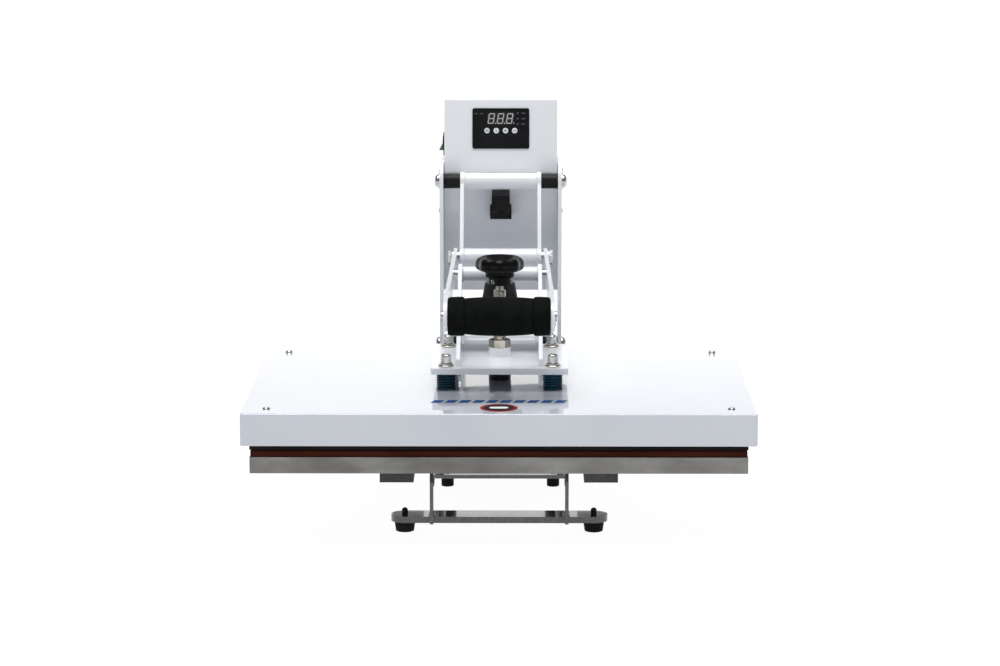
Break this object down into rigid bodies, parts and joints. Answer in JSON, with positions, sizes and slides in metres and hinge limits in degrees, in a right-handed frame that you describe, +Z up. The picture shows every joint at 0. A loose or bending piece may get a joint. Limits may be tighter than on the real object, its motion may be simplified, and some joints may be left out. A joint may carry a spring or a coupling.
{
  "type": "heat press",
  "caption": "Clamshell heat press: white column with controller, lever linkage lifting a wide heated platen off a silicone pad, grey base on rubber feet.",
  "frame": {"origin": "centre of the bounding box on the table, under the machine", "axes": "+X to the operator's right, -Y towards the operator, +Z up"},
  "size_m": [0.622, 0.568, 0.499],
  "materials": {
    "grey_paint": "glossy hammered grey enamel",
    "dark_steel": "dark grey paint",
    "aluminium": "brushed cast aluminium",
    "silicone": "matt silicone sponge",
    "rubber": "matt",
    "zinc_steel": "bright zinc plate",
    "black_steel": "black oxide",
    "white_paint": "glossy white powder coat",
    "black_plastic": "moulded",
    "gloss_black": "polished bakelite",
    "display": "smoked window",
    "white_plastic": "moulded",
    "green_plastic": "translucent green",
    "circuit": "circuit board",
    "hot_platen": "black non-stick coating",
    "fibre": "ceramic fibre board",
    "spring_blue": "blue enamel",
    "foam": "closed-cell foam"
  },
  "bodies": {
    "base": {"base_side_left": "grey_paint", "base_side_right": "grey_paint", "front_crossbar": "grey_paint", "rubber_feet": "rubber", "foot_studs": "black_steel", "rear_plate": "grey_paint", "cross_straps": "dark_steel", "support_bars": "dark_steel", "lower_platen": "aluminium", "silicone_pad": "silicone", "frame_bolts": "zinc_steel", "column_side_left": "white_paint", "column_side_right": "white_paint", "control_shell": "white_paint", "column_panel": "white_paint", "rear_cover": "white_paint", "mains_inlet": "black_plastic", "controller_bezel": "black_plastic", "display_window": "display", "control_electronics": "circuit", "rocker_frame": "black_plastic", "sensor_block": "black_plastic", "top_shaft": "zinc_steel", "main_shaft": "zinc_steel", "shaft_spacers": "black_plastic"},
    "platen_arm": {"arm_plate_left": "white_paint", "arm_plate_right": "white_paint", "arm_tubes": "white_paint", "link_shaft": "zinc_steel", "mounting_plate": "white_paint", "screw_boss": "white_paint", "feed_nut": "zinc_steel", "electromagnet": "black_steel", "gas_studs": "zinc_steel"},
    "upper_platen": {"platen_cover": "white_paint", "heated_platen": "hot_platen", "insulation": "fibre", "cover_screws": "zinc_steel", "suspension_bolts": "zinc_steel", "thrust_pad": "black_steel", "die_springs": "spring_blue"},
    "fork": {"fork_plates": "white_paint", "fork_tubes": "white_paint"},
    "handle": {"handle_plate_left": "white_paint", "handle_plate_right": "white_paint", "grip_core": "zinc_steel", "foam_grip": "foam", "handle_bolts": "zinc_steel"},
    "spindle": {"hand_knob": "gloss_black", "spindle_collar": "black_plastic", "spindle_rod": "zinc_steel"},
    "button_1": {"button_1": "white_plastic"},
    "button_2": {"button_2": "white_plastic"},
    "button_3": {"button_3": "white_plastic"},
    "button_4": {"button_4": "white_plastic"},
    "power_rocker": {"power_rocker": "green_plastic"},
    "gas_cylinder_left": {"gas_cylinder_left": "dark_steel"},
    "gas_cylinder_right": {"gas_cylinder_right": "dark_steel"},
    "gas_rod_left": {"gas_rod_left": "zinc_steel"},
    "gas_rod_right": {"gas_rod_right": "zinc_steel"}
  },
  "joints": [
    {"name": "arm_hinge", "type": "hinge", "parent": "base", "child": "platen_arm", "pos_m": [0, 0.216, 0.167], "axis": [-1, 0, 0], "range_deg": [0, 28]},
    {"name": "fork_hinge", "type": "hinge", "parent": "base", "child": "fork", "pos_m": [0, 0.184, 0.394], "axis": [1, 0, 0], "range_deg": [0, 24.2]},
    {"name": "handle_hinge", "type": "hinge", "parent": "platen_arm", "child": "handle", "pos_m": [0, 0.026, 0.2936], "axis": [-1, 0, 0], "range_deg": [0, 31.8]},
    {"name": "platen_lift", "type": "slide", "parent": "platen_arm", "child": "upper_platen", "axis": [0, 0, 1], "range_m": [0, 0.003], "deforming": ["die_springs"]},
    {"name": "knob_turn", "type": "hinge", "parent": "upper_platen", "child": "spindle", "pos_m": [0, -0.065, 0.295], "axis": [0, 0, 1], "range_deg": [0, 540]},
    {"name": "gas_pivot_left", "type": "hinge", "parent": "base", "child": "gas_cylinder_left", "pos_m": [-0.068, 0.186, 0.06], "axis": [-1, 0, 0], "range_deg": [0, 10.4]},
    {"name": "gas_stroke_left", "type": "slide", "parent": "gas_cylinder_left", "child": "gas_rod_left", "axis": [0, -0.2026, 0.9793], "range_m": [0, 0.0212]},
    {"name": "gas_pivot_right", "type": "hinge", "parent": "base", "child": "gas_cylinder_right", "pos_m": [0.068, 0.186, 0.06], "axis": [-1, 0, 0], "range_deg": [0, 10.4]},
    {"name": "gas_stroke_right", "type": "slide", "parent": "gas_cylinder_right", "child": "gas_rod_right", "axis": [0, -0.2026, 0.9793], "range_m": [0, 0.0212]},
    {"name": "button_1_press", "type": "slide", "parent": "base", "child": "button_1", "axis": [0, 0.9781, -0.2079], "range_m": [0, 0.0008], "stiffness_N_per_m": 300, "springref_m": -0.001},
    {"name": "button_2_press", "type": "slide", "parent": "base", "child": "button_2", "axis": [0, 0.9781, -0.2079], "range_m": [0, 0.0008], "stiffness_N_per_m": 300, "springref_m": -0.001},
    {"name": "button_3_press", "type": "slide", "parent": "base", "child": "button_3", "axis": [0, 0.9781, -0.2079], "range_m": [0, 0.0008], "stiffness_N_per_m": 300, "springref_m": -0.001},
    {"name": "button_4_press", "type": "slide", "parent": "base", "child": "button_4", "axis": [0, 0.9781, -0.2079], "range_m": [0, 0.0008], "stiffness_N_per_m": 300, "springref_m": -0.001},
    {"name": "rocker_switch", "type": "hinge", "parent": "base", "child": "power_rocker", "pos_m": [-0.076, 0.246, 0.437], "axis": [0, -1, 0], "range_deg": [0, 30]}
  ],
  "couplings": [
    {"joint": "fork_hinge", "follows": "arm_hinge", "ratio": 0.848},
    {"joint": "handle_hinge", "follows": "arm_hinge", "ratio": 1.117},
    {"joint": "knob_turn", "follows": "platen_lift", "rad_per_m": 3141.6},
    {"joint": "gas_pivot_left", "follows": "arm_hinge", "ratio": 0.3552},
    {"joint": "gas_stroke_left", "follows": "arm_hinge", "m_per_rad": 0.04241},
    {"joint": "gas_pivot_right", "follows": "arm_hinge", "ratio": 0.3552},
    {"joint": "gas_stroke_right", "follows": "arm_hinge", "m_per_rad": 0.04241}
  ]
}
